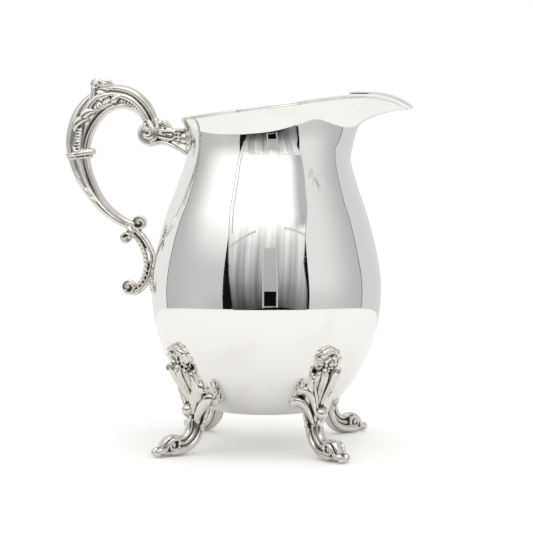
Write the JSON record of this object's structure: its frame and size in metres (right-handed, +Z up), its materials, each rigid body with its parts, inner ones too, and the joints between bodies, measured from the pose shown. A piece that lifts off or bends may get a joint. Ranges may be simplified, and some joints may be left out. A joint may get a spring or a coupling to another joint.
{
  "type": "water pitcher",
  "caption": "Footed silver-plate water pitcher: pear-shaped body, wide pouring spout, scroll handle and cast scroll legs.",
  "frame": {"origin": "on the table under the centre of the whole outline, spout tip to handle back", "axes": "+Z up, +X towards the spout, the handle on -X"},
  "size_m": [0.2326, 0.148, 0.2415],
  "materials": {
    "polished_silver": "mirror-polished silver plate with fine hairlines",
    "cast_silver": "cast silver plate, polished on the high parts and oxidised dark in the recesses"
  },
  "bodies": {
    "root": {"body_shell": "polished_silver", "base_disc": "polished_silver", "rim_wire": "polished_silver", "spout_lip_band": "polished_silver", "leg_front_left": "cast_silver", "leg_front_right": "cast_silver", "leg_rear_left": "cast_silver", "leg_rear_right": "cast_silver", "handle_grip": "cast_silver", "handle_thumb_leaf": "cast_silver", "handle_collar": "cast_silver", "handle_lower_scroll": "cast_silver", "upper_handle_bracket": "cast_silver", "upper_handle_plate": "cast_silver", "lower_handle_plate": "cast_silver"}
  },
  "joints": []
}
